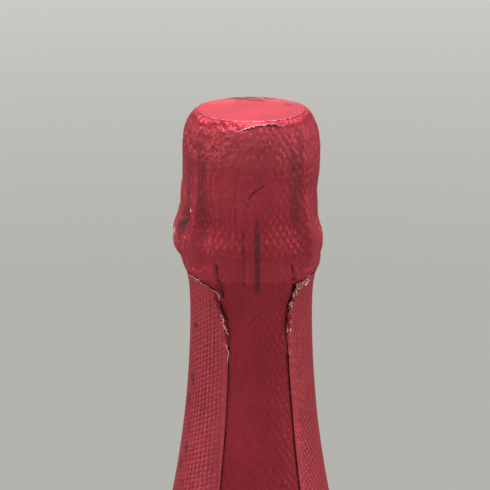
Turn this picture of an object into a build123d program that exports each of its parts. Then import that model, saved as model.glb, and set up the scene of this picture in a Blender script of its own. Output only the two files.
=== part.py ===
"""A stoppered 75 cl champagne bottle: glass, wine, glued cork, wire cage, foil capsule and plain labels.

Millimetres, +Z up along the bottle's axis, origin at the centre of the ring that the bottle stands on.
The front of the bottle faces -Y, and the cage's twist loop is on the -X side.
"""

import os
from math import asin, atan2, cos, degrees, hypot, radians, sin

from build123d import *

os.makedirs("parts", exist_ok=True)

# Directions about the axis, in degrees anticlockwise from +X
front = 270
back = 90
loop_side = 180
leg_azimuths = (40, 140, 220, 320)

# Bottle glass
bottle_height = 300.0
body_diameter = 88.5
shoulder_radius = 110.0
side_slope = 16.5
neck_curve_radius = 265.0
neck_straight_length = 11.7
neck_diameter = 29.1
heel_radius = 9.0
wall = 5.5
heel_inner_radius = 4.0
base_thickness = 5.0

# Punt, the hollow under the base
stand_ring_width = 3.8
punt_depth = 33.0
punt_tip_radius = 12.0

# Mouth and neck finish
bore_diameter = 17.5
bore_depth = 30.0
bore_join_drop = 39.0
mouth_edge_radius = 0.9
lip_diameter = 28.6
lip_height = 6.4
lip_top_radius = 2.2
lip_bottom_radius = 1.0
lip_groove_depth = 1.1
lip_groove_height = 1.4
ring_diameter = 34.2
ring_slope_height = 2.2
ring_band_height = 1.6
ring_underside_height = 4.2
ring_edge_radius = 1.0
groove_edge_radius = 0.5

# Wine
fill_depth_below_mouth = 76.0
liquid_clearance = 0.05

# Cork
cork_shank_clearance = 0.05
cork_depth = 24.5
cork_disc_thickness = 5.0
cork_chamfer = 0.6
cork_head_diameter = 31.0
cork_head_height = 19.4
cork_head_gap = 0.4
cork_neck_height = 0.8
cork_underside_height = 5.0
cork_head_top_radius = 3.5
cork_head_bottom_radius = 2.5

# Cap plate
plate_gap = 0.1
plate_thickness = 0.35
plate_crown_diameter = 25.6
plate_crown_height = 1.35
plate_crown_slope = 0.5
plate_flange_width = 0.9
plate_inset = 0.75
plate_rim_drop = 1.2

# Cage wire
cage_wire_diameter = 0.7
cage_gap = 0.1
leg_shoulder_drop = 1.6
leg_bend_radius = 1.2
leg_ring_overlap = 1.9
eyelet_gap = 0.1
eyelet_neck_gap = 0.22

# Belt wire and twist loop
belt_wire_diameter = 0.95
belt_drop_below_ring = 0.5
loop_length = 9.6
loop_width = 8.6
loop_lean = 1.5
loop_stub_length = 1.6
loop_stub_flat_share = 0.9
loop_corner_share = 0.8
loop_hinge_drop_below_band = 1.0
loop_ring_gap = 0.12
stem_gap = 0.15

# Foil
foil_thickness = 0.2
foil_gap = 0.15
foil_joint_gap = 0.3
hood_top_gap = 0.1
hood_head_gap = 1.3
hood_ring_gap = 0.3
hood_shoulder_width = 2.0
hood_shoulder_drop = 1.7
hood_side_drop = 6.5
hood_bend_radius = 2.0
hood_flare_rise = 4.5
hood_edge_drop = 1.4
top_disc_overhang = 0.7
top_disc_overlap = 0.4
tab_width = 10.6
tab_bulge = 0.85
tab_side_gap = 0.35
neck_foil_length = 80.0
neck_foil_cone_height = 5.6
pleat_thickness = 0.2
pleat_strip_angle = 60.5
pleat_strip_turn = 6.75

# Labels
label_thickness = 0.15
label_gap = 0.1
front_label_width = 92.0
front_label_height = 78.0
front_label_drop = 8.0
back_label_width = 62.0
back_label_height = 62.0
back_label_drop = 16.0
neck_label_height = 21.0
neck_label_overhang = 5.0

# Radii and heights that follow from the sizes above
body_radius = body_diameter / 2
neck_radius = neck_diameter / 2
bore_radius = bore_diameter / 2
lip_radius = lip_diameter / 2
lip_bottom = bottle_height - lip_height
ring_radius = ring_diameter / 2
ring_band_top = lip_bottom - lip_groove_height - ring_slope_height
ring_band_bottom = ring_band_top - ring_band_height
ring_bottom = ring_band_bottom - ring_underside_height
neck_curve_top = ring_bottom - neck_straight_length
stand_radius = body_radius - heel_radius
punt_radius = stand_radius - stand_ring_width
shank_radius = bore_radius - cork_shank_clearance
cork_radius = cork_head_diameter / 2
cork_top = bottle_height + cork_head_height
plate_bottom = cork_top + plate_gap
flange_top = plate_bottom + plate_thickness
plate_top = flange_top + plate_crown_height
plate_radius = cork_radius - plate_inset
crown_radius = plate_crown_diameter / 2
crown_foot_radius = crown_radius + plate_crown_slope
cage_wire_radius = cage_wire_diameter / 2
top_ring_radius = crown_foot_radius + cage_gap + cage_wire_radius
top_ring_height = flange_top + cage_gap + cage_wire_radius
leg_radius = cage_wire_diameter
leg_head_reach = cork_radius + cage_gap + leg_radius
leg_ring_reach = ring_radius + cage_gap + leg_radius
belt_wire_radius = belt_wire_diameter / 2
eyelet_radius = belt_wire_radius + eyelet_gap + cage_wire_radius
belt_radius = neck_radius + eyelet_neck_gap + eyelet_radius + cage_wire_radius
belt_height = ring_bottom - belt_drop_below_ring
hinge_height = ring_band_bottom - loop_hinge_drop_below_band
hinge_lean = loop_lean * (ring_band_top - hinge_height) / loop_length
hinge_reach = ring_radius + loop_ring_gap + belt_wire_radius + hinge_lean
disc_radius = crown_radius + top_disc_overhang
hood_top = plate_top + hood_top_gap
hood_bottom = belt_height - hood_edge_drop
foil_bottom = hood_bottom - neck_foil_length


def radial_plane(azimuth):
    """The upright plane through the axis whose local x points outward at this azimuth."""
    outward = (cos(radians(azimuth)), sin(radians(azimuth)), 0)
    return Plane(origin=(0, 0, 0), x_dir=outward, z_dir=(outward[1], -outward[0], 0))


def point_at(azimuth, reach, height):
    """A point at a distance from the axis, in a direction and at a height."""
    return Vector(reach * cos(radians(azimuth)), reach * sin(radians(azimuth)), height)


def side_run():
    """Length of the straight stretch between the neck curve and the shoulder, and the shoulder's foot."""
    radius_sum = neck_curve_radius + shoulder_radius
    slope = radians(side_slope)
    run = (body_radius - neck_radius - radius_sum * (1 - cos(slope))) / sin(slope)
    return run, neck_curve_top - radius_sum * sin(slope) - run * cos(slope)


body_top = side_run()[1]


def neck_arc(top, bottom, outward):
    """Arc of the neck curve between two heights, moved outward from the glass."""
    radius = neck_curve_radius - outward
    start = degrees(asin((neck_curve_top - top) / radius))
    end = degrees(asin((neck_curve_top - bottom) / radius))
    return CenterArc((neck_radius + neck_curve_radius, neck_curve_top), radius, 180 + start, end - start)


def side_curve(inset, top):
    """Neck curve from a height down, sloping side and shoulder, all moved inward by an inset."""
    centre = (neck_radius + neck_curve_radius, neck_curve_top)
    radius = neck_curve_radius + inset
    start = degrees(asin((neck_curve_top - top) / radius))
    upper = CenterArc(centre, radius, 180 + start, side_slope - start)
    shoulder_centre = (body_radius - shoulder_radius, body_top)
    lower = CenterArc(shoulder_centre, shoulder_radius - inset, side_slope, -side_slope)
    Line(upper @ 1, lower @ 0)
    return upper @ 0, lower @ 1


def punt_line(lift):
    """Punt surface from the axis out to the height of its edge, lifted off the outer surface."""
    tip_height = punt_depth - punt_tip_radius
    flank_slope = atan2(tip_height, -punt_radius) - asin(punt_tip_radius / hypot(punt_radius, tip_height))
    tip = CenterArc((0, tip_height), punt_tip_radius + lift, 90, degrees(flank_slope) - 180)
    flank_start = tip @ 1
    flank_length = (flank_start.Y - lift) / sin(flank_slope)
    flank_end = flank_start - Vector(cos(flank_slope), sin(flank_slope)) * flank_length
    Line(flank_start, flank_end)
    return tip @ 0, flank_end


def build_glass():
    """The whole bottle, one turned shape."""
    finish_points = [
        (bore_radius, bottle_height - bore_depth),
        (bore_radius, bottle_height),
        (lip_radius, bottle_height),
        (lip_radius, lip_bottom),
        (lip_radius - lip_groove_depth, lip_bottom),
        (lip_radius - lip_groove_depth, lip_bottom - lip_groove_height),
        (ring_radius, ring_band_top),
        (ring_radius, ring_band_bottom),
        (neck_radius, ring_bottom),
        (neck_radius, neck_curve_top),
    ]
    finish_radii = [
        mouth_edge_radius,
        lip_top_radius,
        lip_bottom_radius,
        groove_edge_radius,
        groove_edge_radius,
        ring_edge_radius,
        ring_edge_radius,
        groove_edge_radius,
    ]
    with BuildPart() as glass:
        with BuildSketch(Plane.XZ):
            with BuildLine():
                FilletPolyline(*finish_points, radius=finish_radii)
                outer_bottom = side_curve(0, neck_curve_top)[1]
                Line(outer_bottom, (body_radius, heel_radius))
                CenterArc((stand_radius, heel_radius), heel_radius, 0, -90)
                Line((stand_radius, 0), (punt_radius, 0))
                punt_top = punt_line(0)[0]
                inner_top, inner_bottom = side_curve(wall, neck_curve_top - bore_join_drop)
                floor_top, floor_edge = punt_line(base_thickness)
                floor_corner = (body_radius - wall, base_thickness)
                FilletPolyline(inner_bottom, floor_corner, floor_edge, radius=heel_inner_radius)
                Line(punt_top, floor_top)
                Line((bore_radius, bottle_height - bore_depth), inner_top)
            make_face()
        revolve(axis=Axis.Z)
    return glass.part


def build_wine():
    """The fill, a hair clear of the glass, up to its level in the neck."""
    inset = wall + liquid_clearance
    level = bottle_height - fill_depth_below_mouth
    floor = base_thickness + liquid_clearance
    with BuildPart() as wine:
        with BuildSketch(Plane.XZ):
            with BuildLine():
                top_edge, bottom_edge = side_curve(inset, level)
                floor_top, floor_edge = punt_line(floor)
                floor_corner = (body_radius - inset, floor)
                FilletPolyline(bottom_edge, floor_corner, floor_edge, radius=heel_inner_radius)
                Polyline(floor_top, (0, level), top_edge)
            make_face()
        revolve(axis=Axis.Z)
    return wine.part


def build_cork_body():
    """Agglomerate head and upper shank."""
    shank_bottom = bottle_height - cork_depth + 2 * cork_disc_thickness
    underside = bottle_height + cork_head_gap
    with BuildPart() as cork:
        with BuildSketch(Plane.XZ):
            with BuildLine():
                FilletPolyline(
                    (0, shank_bottom),
                    (shank_radius, shank_bottom),
                    (shank_radius, underside),
                    (lip_radius - lip_top_radius, underside + cork_neck_height),
                    (cork_radius, underside + cork_underside_height),
                    (cork_radius, cork_top),
                    (0, cork_top),
                    radius=[0, cork_neck_height, cork_neck_height, cork_head_bottom_radius, cork_head_top_radius],
                )
                Line((0, cork_top), (0, shank_bottom))
            make_face()
        revolve(axis=Axis.Z)
    return cork.part


def build_cork_disc(bottom, broken_edge):
    """One natural cork disc of the shank; the lowest has its edge broken."""
    with BuildPart() as disc:
        with BuildSketch(Plane.XY.offset(bottom)):
            Circle(shank_radius)
        extrude(amount=cork_disc_thickness)
        if broken_edge:
            chamfer(disc.faces().sort_by(Axis.Z)[0].edges(), length=cork_chamfer)
    return disc.part


def build_cap_plate():
    """Pressed plate: a raised crown, a flat flange for the wire and a rim bent down over the cork."""
    flange_radius = crown_foot_radius + plate_flange_width
    rim_bottom = flange_top - plate_rim_drop
    with BuildPart() as plate:
        with BuildSketch(Plane.XZ):
            with BuildLine():
                Polyline(
                    (0, plate_top),
                    (crown_radius, plate_top),
                    (crown_foot_radius, flange_top),
                    (flange_radius, flange_top),
                    (plate_radius, rim_bottom),
                    (plate_radius - plate_thickness, rim_bottom),
                    (flange_radius - plate_thickness / 2, plate_bottom),
                    (crown_foot_radius - plate_thickness, plate_bottom),
                    (crown_radius - plate_thickness, plate_top - plate_thickness),
                    (0, plate_top - plate_thickness),
                    close=True,
                )
            make_face()
        revolve(axis=Axis.Z)
    return plate.part


def leg_points():
    """Centre line of one twisted leg, as outward reach and height, from the top ring to its eyelet."""
    start_height = flange_top + 2 * cage_gap + leg_radius
    return [
        (top_ring_radius, start_height),
        (top_ring_radius + leg_radius * 3 / 2, start_height),
        (leg_head_reach, cork_top - leg_shoulder_drop),
        (leg_head_reach, bottle_height + cork_head_gap + cork_underside_height / 2),
        (leg_ring_reach, ring_band_top + leg_ring_overlap),
        (leg_ring_reach, ring_band_bottom),
        (belt_radius + eyelet_gap, belt_height + eyelet_radius),
    ]


def sweep_leg(azimuth, radius):
    """One leg, or a thicker tube along the same line, added to the part being built."""
    with BuildLine(radial_plane(azimuth)) as leg_line:
        FilletPolyline(*leg_points(), radius=leg_bend_radius)
    with BuildSketch(Plane(origin=leg_line.line @ 0, z_dir=leg_line.line % 0)) as section:
        Circle(radius)
    sweep(section.sketch, path=leg_line.line)


def eyelet_plane(azimuth):
    """Plane of an eyelet: upright, through the axis, with its origin on the belt."""
    plane = radial_plane(azimuth)
    return Plane(origin=point_at(azimuth, belt_radius, belt_height), x_dir=plane.x_dir, z_dir=plane.z_dir)


def extrude_stem(margin):
    """Flat pair of belt wires from the belt towards the loop's hinge, grown by a margin."""
    start = point_at(loop_side, belt_radius, belt_height)
    hinge = point_at(loop_side, hinge_reach, hinge_height)
    with BuildSketch(Plane(origin=start, x_dir=(0, 1, 0), z_dir=(hinge - start).normalized())) as section:
        SlotOverall(2 * (belt_wire_diameter + margin), belt_wire_diameter + 2 * margin)
    extrude(section.sketch, amount=(hinge - start).length - belt_wire_radius - stem_gap)


def build_cage_wire():
    """Top ring, four legs and the eyelets that the belt runs through."""
    with BuildPart() as cage:
        with BuildSketch(Plane.XZ):
            with Locations((top_ring_radius, top_ring_height)):
                Circle(cage_wire_radius)
        revolve(axis=Axis.Z)
        for azimuth in leg_azimuths:
            sweep_leg(azimuth, leg_radius)
            with Locations(eyelet_plane(azimuth)):
                Torus(eyelet_radius, cage_wire_radius)
    return cage.part


def build_belt_wire():
    """Wire belt under the glass ring, and the flat twisted stem that reaches out to the loop."""
    with BuildPart() as belt:
        with BuildSketch(Plane.XZ):
            with Locations((belt_radius, belt_height)):
                Circle(belt_wire_radius)
        revolve(axis=Axis.Z)
        extrude_stem(0)
    return belt.part


def build_twist_loop():
    """Oval loop of single wire on a short double stub, with a round end on the hinge axis."""
    lean = asin(loop_lean / loop_length)
    hinge = point_at(loop_side, hinge_reach, hinge_height)
    plane = Plane(origin=hinge, x_dir=(0, 1, 0), z_dir=(cos(lean), 0, -sin(lean)))
    half_width = loop_width / 2 - belt_wire_radius
    oval_top = loop_length - belt_wire_radius
    with BuildPart() as loop:
        with BuildSketch(Plane(origin=hinge, x_dir=plane.x_dir, z_dir=plane.y_dir)):
            SlotOverall(2 * belt_wire_diameter, belt_wire_diameter * loop_stub_flat_share)
        extrude(amount=loop_stub_length + belt_wire_radius / 2)
        with BuildSketch(Plane(origin=hinge, z_dir=(0, 1, 0))):
            Circle(belt_wire_radius)
        extrude(amount=belt_wire_diameter, both=True)
        with BuildLine(plane) as oval:
            FilletPolyline(
                (half_width, loop_stub_length),
                (half_width, oval_top),
                (-half_width, oval_top),
                (-half_width, loop_stub_length),
                radius=half_width * loop_corner_share,
                close=True,
            )
        with BuildSketch(Plane(origin=oval.line @ 0, z_dir=oval.line % 0)):
            Circle(belt_wire_radius)
        sweep(path=oval.line)
    return loop.part


def build_hood_space(growth):
    """The space under the hood, grown by a thickness: a turned shape with a ridge over each wire."""
    side_reach = cork_radius + hood_head_gap + growth
    ring_reach = ring_radius + hood_ring_gap + growth
    belt_reach = belt_radius + belt_wire_radius + foil_gap + growth
    shoulder_reach = disc_radius + hood_shoulder_width - foil_thickness + growth
    top = hood_top + growth
    ridge_margin = foil_gap + growth
    outline = [
        (0, hood_bottom),
        (belt_reach - foil_gap, hood_bottom),
        (belt_reach, belt_height),
        (ring_reach, ring_band_bottom),
        (ring_reach, ring_band_top),
        (side_reach, ring_band_top + hood_flare_rise),
        (side_reach, top - hood_side_drop),
        (shoulder_reach, top - hood_shoulder_drop),
        (disc_radius, top),
        (0, top),
    ]
    bends = [
        0,
        0,
        ring_edge_radius,
        ring_edge_radius,
        hood_bend_radius,
        hood_bend_radius,
        hood_bend_radius,
        0,
    ]
    with BuildPart() as space:
        with BuildSketch(Plane.XZ):
            with BuildLine():
                FilletPolyline(*outline, radius=bends)
                Line((0, top), (0, hood_bottom))
            make_face()
        revolve(axis=Axis.Z)
        for azimuth in leg_azimuths:
            sweep_leg(azimuth, leg_radius + ridge_margin)
            with BuildSketch(eyelet_plane(azimuth)):
                Circle(eyelet_radius + cage_wire_radius + ridge_margin)
            extrude(amount=cage_wire_radius + ridge_margin, both=True)
        extrude_stem(ridge_margin)
        split(bisect_by=Plane.XY.offset(hood_bottom), keep=Keep.TOP)
    return space.part


def build_foil_hood():
    """Foil skirt from the rim of the top disc to under the belt, with a torn window over the loop."""
    window_bottom = hinge_height - belt_wire_radius - stem_gap
    window_top = hinge_height + loop_length + tab_side_gap
    inner = build_hood_space(0)
    outer = build_hood_space(foil_thickness)
    with BuildPart() as hood:
        add(outer)
        add(inner, mode=Mode.SUBTRACT)
        with BuildSketch(Plane.XY.offset(hood_top - foil_thickness)):
            Circle(disc_radius - top_disc_overlap)
        extrude(amount=3 * foil_thickness, mode=Mode.SUBTRACT)
        with BuildSketch(Plane.YZ.offset(-lip_radius)):
            with Locations((0, (window_bottom + window_top) / 2)):
                Rectangle(tab_width - 2 * tab_side_gap, window_top - window_bottom)
        extrude(amount=-ring_radius, mode=Mode.SUBTRACT)
    return hood.part


def build_top_disc():
    """Round disc that closes the capsule, lying on the hood's turned-in rim."""
    with BuildPart() as disc:
        with BuildSketch(Plane.XY.offset(hood_top + foil_thickness)):
            Circle(disc_radius)
        extrude(amount=foil_thickness)
    return disc.part


def build_foil_tab():
    """Torn tab of foil that bulges over the folded loop and swings out with it."""
    bottom_reach = hinge_reach + belt_wire_radius + foil_gap
    top_reach = bottom_reach - loop_lean - loop_ring_gap
    middle_reach = (bottom_reach + top_reach) / 2 + tab_bulge
    top_height = hinge_height + loop_length + tab_side_gap
    middle_height = (hinge_height + top_height) / 2
    with BuildPart() as tab:
        with BuildSketch(Plane.XZ):
            with BuildLine():
                inner = ThreePointArc(
                    (-bottom_reach, hinge_height),
                    (-middle_reach, middle_height),
                    (-top_reach, top_height),
                )
                outer = ThreePointArc(
                    (-bottom_reach - foil_thickness, hinge_height),
                    (-middle_reach - foil_thickness, middle_height),
                    (-top_reach - foil_thickness, top_height),
                )
                Line(inner @ 0, outer @ 0)
                Line(inner @ 1, outer @ 1)
            make_face()
        extrude(amount=tab_width / 2, both=True)
    return tab.part


def sketch_neck_foil(inner, outer, azimuth):
    """Section of the neck foil between two distances off the glass, with its cone up to the hood."""
    top = hood_bottom - foil_joint_gap
    cone_bottom = top - neck_foil_cone_height
    cone_width = belt_radius + belt_wire_radius - foil_gap - neck_radius
    with BuildSketch(radial_plane(azimuth)) as section:
        with BuildLine():
            inner_arc = neck_arc(neck_curve_top, foil_bottom, inner)
            outer_arc = neck_arc(neck_curve_top, foil_bottom, outer)
            inner_cone = Polyline(
                inner_arc @ 0,
                (neck_radius + inner, cone_bottom),
                (neck_radius + inner + cone_width - foil_gap, top),
            )
            outer_cone = Polyline(
                outer_arc @ 0,
                (neck_radius + outer, cone_bottom),
                (neck_radius + outer + cone_width - foil_gap, top),
            )
            Line(inner_arc @ 1, outer_arc @ 1)
            Line(inner_cone @ 1, outer_cone @ 1)
        make_face()
    return section.sketch


def build_foil_neck():
    """Lower foil on the neck, with the two wide pleats that lie over its front and back strips."""
    outer = foil_gap + foil_thickness
    pleat_arc = 180 - pleat_strip_angle
    with BuildPart() as foil:
        revolve(sketch_neck_foil(foil_gap, outer, 0).faces(), axis=Axis.Z)
        for strip_centre in (front, back):
            start = strip_centre + pleat_strip_turn + pleat_strip_angle / 2
            pleat = sketch_neck_foil(outer - foil_thickness / 2, outer + pleat_thickness, start)
            revolve(pleat.faces(), axis=Axis.Z, revolution_arc=pleat_arc)
    return foil.part


def build_neck_label():
    """Paper band round the neck, over the foil's lower edge."""
    inner = foil_gap + foil_thickness + pleat_thickness + label_gap
    outer = inner + label_thickness
    bottom = foil_bottom - neck_label_overhang
    top = bottom + neck_label_height
    with BuildPart() as label:
        with BuildSketch(Plane.XZ):
            with BuildLine():
                inner_arc = neck_arc(top, bottom, inner)
                outer_arc = neck_arc(top, bottom, outer)
                Line(inner_arc @ 0, outer_arc @ 0)
                Line(inner_arc @ 1, outer_arc @ 1)
            make_face()
        revolve(axis=Axis.Z)
    return label.part


def build_body_label(width, height, drop, centre):
    """Paper label wrapped on the body's straight wall, with its top a drop below the shoulder's foot."""
    inner = body_radius + label_gap
    bottom = body_top - drop - height
    arc = degrees(width / inner)
    with BuildPart() as label:
        with BuildSketch(radial_plane(centre - arc / 2)):
            with Locations((inner, bottom)):
                Rectangle(label_thickness, height, align=(Align.MIN, Align.MIN))
        revolve(axis=Axis.Z, revolution_arc=arc)
    return label.part


disc_bottom = bottle_height - cork_depth
pieces = {
    "glass_bottle": build_glass(),
    "wine": build_wine(),
    "cork_body": build_cork_body(),
    "cork_disc_upper": build_cork_disc(disc_bottom + cork_disc_thickness, False),
    "cork_disc_lower": build_cork_disc(disc_bottom, True),
    "cap_plate": build_cap_plate(),
    "cage_wire": build_cage_wire(),
    "belt_wire": build_belt_wire(),
    "twist_loop": build_twist_loop(),
    "foil_top_disc": build_top_disc(),
    "foil_hood": build_foil_hood(),
    "foil_tab": build_foil_tab(),
    "foil_neck": build_foil_neck(),
    "neck_label": build_neck_label(),
    "front_label": build_body_label(front_label_width, front_label_height, front_label_drop, front),
    "back_label": build_body_label(back_label_width, back_label_height, back_label_drop, back),
}

for name, piece in pieces.items():
    piece.label = name
    export_step(piece, f"parts/{name}.step")
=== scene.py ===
"""Looks of a stoppered champagne bottle in red foil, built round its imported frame.

Lengths are in millimetres, and MM turns them into metres where a mesh is made.
Directions round the bottle are in degrees from the front (-Y), positive towards +X.
A place, called at, is a (direction, height) pair. A run is a length down along the capsule's outline.
A band is (low, high, fade). A layer of noise is (strength, cells round the bottle, cell length, seed).
"""

import math

import bmesh
import bpy
import numpy as np
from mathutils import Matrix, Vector


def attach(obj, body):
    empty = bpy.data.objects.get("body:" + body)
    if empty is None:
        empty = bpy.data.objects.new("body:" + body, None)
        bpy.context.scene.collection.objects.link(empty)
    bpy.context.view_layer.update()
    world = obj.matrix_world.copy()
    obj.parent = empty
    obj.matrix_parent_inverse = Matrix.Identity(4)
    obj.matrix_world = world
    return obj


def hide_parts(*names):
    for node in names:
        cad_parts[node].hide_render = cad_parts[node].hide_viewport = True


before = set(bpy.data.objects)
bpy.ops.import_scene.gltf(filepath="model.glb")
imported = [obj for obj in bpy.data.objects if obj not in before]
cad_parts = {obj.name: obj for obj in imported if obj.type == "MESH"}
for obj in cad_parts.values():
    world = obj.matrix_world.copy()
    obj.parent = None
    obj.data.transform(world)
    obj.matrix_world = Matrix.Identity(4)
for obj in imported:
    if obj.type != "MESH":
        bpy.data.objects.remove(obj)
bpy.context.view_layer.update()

MM = 0.001
x_axis, y_axis, z_axis = np.eye(3)

# Camera
camera_distance = 500
camera_pitch = 16.9
camera_lens = 149.1
camera_side = -1.5
target_height = 287.3

# Foil sheet and its pressed lattice
foil_sheet = 0.12
cell_width = 1.75
cell_height = 3.2
cells_round = 60
cushion_height = 0.05
lattice_reach = 16
noise_rows = 64

# The capsule's outline from under the top disc down to the neck, as (reach, height)
capsule_outline = (
    (12.8, 321.5), (13.5, 321.35), (14.7, 320.15), (15.6, 318.6), (16.2, 316.8), (16.6, 314),
    (16.75, 309), (16.7, 303), (16.45, 298.5), (16.35, 296), (16.7, 293.6), (17.35, 291.4),
    (17.55, 289.2), (17.3, 287.5), (17, 286.2), (17.02, 285), (16.92, 283.9), (16.65, 282.9),
    (16.15, 282.15), (15.45, 279.6), (15.1, 277), (14.95, 274), (14.91, 270),
)
highest_foil = 321.6
seam_height = 282.15
seam_lap = 0.8
hood_fade_height = 274
neck_foil_bottom = 202.3
glass_neck_radius = 14.55
glass_curve_radius = 265
glass_curve_top = 272.5
foil_off_glass = 0.35
label_zone_top = 219.5

# Reach that the foil keeps outside the wire belt and the glass ring, as (height, reach)
clearance = (
    (282.6, 0), (282.9, 16.5), (283.3, 16.7), (284.1, 16.7), (284.6, 16.5), (285, 0), (286.4, 0),
    (286.5, 15.9), (288.1, 17.26), (290.3, 17.26), (292.8, 15.9), (292.9, 0),
)

# Wire legs under the foil: the line that the foil takes over them, and how far off each leg's hollow lies
leg_cover = (
    (13.1, 321.4), (14.6, 321.25), (15.35, 320.75), (16.65, 318.5), (17.2, 317.1), (17.22, 303.2),
    (18.8, 292), (18.8, 288), (17.25, 284.8), (17.5, 283.7), (17.1, 282.7), (16.3, 281.4),
    (15.7, 280.2), (15.45, 279.6),
)
leg_foot = 279.8
leg_tent_width = 2
leg_tent_outer_width = 3
leg_tent_limit = 2.3
leg_hollows = {-130: 4.2, -50: 2.5, 50: 4.2, 130: 2.5}
leg_hollow_width = 1.45
leg_hollow_depths = ((0.9, (293, 316.5, 4)), (0.25, (283.5, 293, 2)))

# Dark shade in the long hollows, as (direction, half width, strength), and its bands of height
hollow_shades = (
    (-43.5, 5.4, 0.75), (38, 6, 0.75), (-63, 4.6, 0.8),
    (66, 4.6, 0.4), (140, 4.6, 0.7), (-146, 4.6, 0.8),
)
hollow_shade_bands = ((0.75, (297, 314.5, 4)), (0.25, (284, 314.5, 4)))

# Soft folds of the capsule and the neck foil
folded_band = (281, 318, 5)
ribbed_band = (283, 311, 6)
pleat_layers = ((0.115, 64, 30, 5), (0.0805, 118, 22, 6))
fine_pleat_layer = (0.05, 96, 2.4, 10)
rib_layer = (0.13, 126, 9, 7)
dent_layer = (0.09, 22, 10, 8)
dimple_layer = (0.035, 50, 4, 9)
neck_layers = ((0.04, 40, 34, 41), (0.03, 22, 12, 42))

# Crumples of the shoulder, as (slant, strength, cells round, cell length, seed), deeper on its left front
shoulder_crumples = ((2, 0.08, 50, 2.2, 11), (-1.5, 0.08, 84, 1.3, 12), (1, 0.04, 130, 0.9, 13))
shoulder_band = (313, 321.3, 2.6)
deep_crumple = 0.06
deep_crumple_turn = (-78, -17, 12)
deep_crumple_band = (310.5, 320.9, 3)

# Dents, as (direction, height, half width in degrees, half height), with their depths
side_hollow = (-71, 295.6, 8, 3)
right_dent = (86, 302.6, 20, 4.2)
dent_depths = ((side_hollow, 0.8), (right_dent, 0.62))

# Rows and columns of the hood, closer together in front and on the shoulder
fine_half_turn = 60
shoulder_run = 11
shoulder_rows_share = 0.36

# The foil over the folded wire loop, as (reach, height), and the window under its tab
loop_direction = -90
loop_cover = (
    (16.2, 282), (16.8, 283.7), (17.25, 284.7), (17.6, 285.7), (17.95, 286.4), (18.5, 287.2),
    (18.8, 288), (18.9, 291), (18.85, 292.6), (18.6, 293.7), (18.2, 294.7), (17.85, 295.6),
    (17.65, 296.4), (17.45, 297.4), (17.25, 301), (16.9, 304), (15, 308),
)
loop_reach = 18.2
loop_cover_half_width = 4.6
loop_cover_fade = 2.6
loop_top_narrowing = 0.9
window_half_turn = 15.8
window_bottom = 286.4
window_top = 297.2
tab_half_turn = 17.3
tab_lap = 0.45
tab_lift = 0.14
tab_edge_lift = 0.05
tab_layers = ((0.07, 50, 4, 52), (0.04, 110, 2, 53))

# Lower edge of the torn layer on the shoulder, as (height, direction)
flap_edge = (
    (319.6, -12), (319.8, -9.2), (320.25, -3.1), (320.75, 7.1), (320.8, 21.7), (320.4, 29.3),
    (320.5, 33),
)
flap_start = 0.55
flap_layers = ((0.14, 150, 1, 15), (0.08, 300, 1, 17))

# Edges of the front strip between the wide pleats of the neck foil, as (direction, height)
left_pleat_edge = (
    (-24.4, 200), (-24.4, 229), (-22.1, 251), (-21.7, 261), (-22.8, 269), (-24.8, 272.8),
    (-29.9, 276.4), (-38.4, 280.2), (-69.4, 282.15),
)
right_pleat_edge = (
    (41, 200), (40.3, 229), (39.5, 240), (38.6, 250.4), (36.3, 262.5), (35.7, 270.2), (36.2, 273),
    (39.3, 277.5), (43, 280.1), (54, 281.7), (75, 282.15),
)
pleat_lift = 0.2
pleat_under = 7
edge_crowding = 0.145
torn_band = (262, 290, 8)
curl_radius = 0.24

# Wide pleats: name, turn, lattice grid, depth of the lattice, share of lines and seed
wide_pleats = (
    ("neck_pleat_left", -180, (0.79, 0, -0.42, 0.80), 0.8, 1, 71),
    ("neck_pleat_right", 0, (0.95, 0.42, -0.35, 0.70), 0.42, 3, 81),
)

# Torn lips on the pleats' edges: name, places, seed and how much bare tin shows
torn_lines = (
    ("torn_edge_right", ((64, 281.9), (54, 281.5), (44, 280), (39.6, 277.6), (36.6, 273.2), (36, 268)),
     91, 0.1),
    ("torn_edge_right_lower", ((66, 281.4), (58, 280.9), (51, 280.1), (45, 278.6), (41, 276)), 92, 0.3),
    ("torn_edge_left", ((-22.6, 266.5), (-23.2, 269.4), (-25.2, 272.6), (-30.4, 276.2), (-36, 279)),
     93, -0.25),
    ("torn_edge_left_side", ((-46, 280.7), (-52, 281.2), (-60, 281.5), (-70, 281.7)), 94, -0.25),
)
fringe_width = 0.75
fringe_spacing = 0.16

# Creases of the foil: places, depth and width of the relief, darkness and width of the painted shade line
# along it
crease_reach = 16.7
creases = {
    "shoulder crease": (((-31.5, 321.3), (-29, 319.5), (-24.6, 316)), 0.3, 0.35, 0.4, 0.2),
    "thin crease": (((-6.4, 295.5), (-6.1, 286), (-6.7, 281.6)), 0.22, 0.25, 0.5, 0.2),
    "front fold": (((10.4, 306.7), (5, 305.7), (1.3, 305), (-2, 303.6)), 0.4, 0.2, 1, 0.16),
    "front fold return": (((10.4, 306.7), (8, 307.6), (5, 308.4)), 0.2, 0.3, 0.35, 0.2),
    "small fold": (((-6, 303), (-2.7, 301.5)), 0.3, 0.3, 0.4, 0.2),
    "left groove": (((-30.4, 286.4), (-29, 284), (-28.3, 280.7), (-27.5, 278.5)), 0.55, 0.55, 0.95, 0.34),
    "right groove": (((35.6, 286.2), (38, 282.5), (44.6, 279.3)), 0.5, 0.55, 0.95, 0.34),
    "neck scratch": (((10.8, 275.2), (-4.8, 270.7)), 0.14, 0.25, 0.75, 0.16),
}

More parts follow.
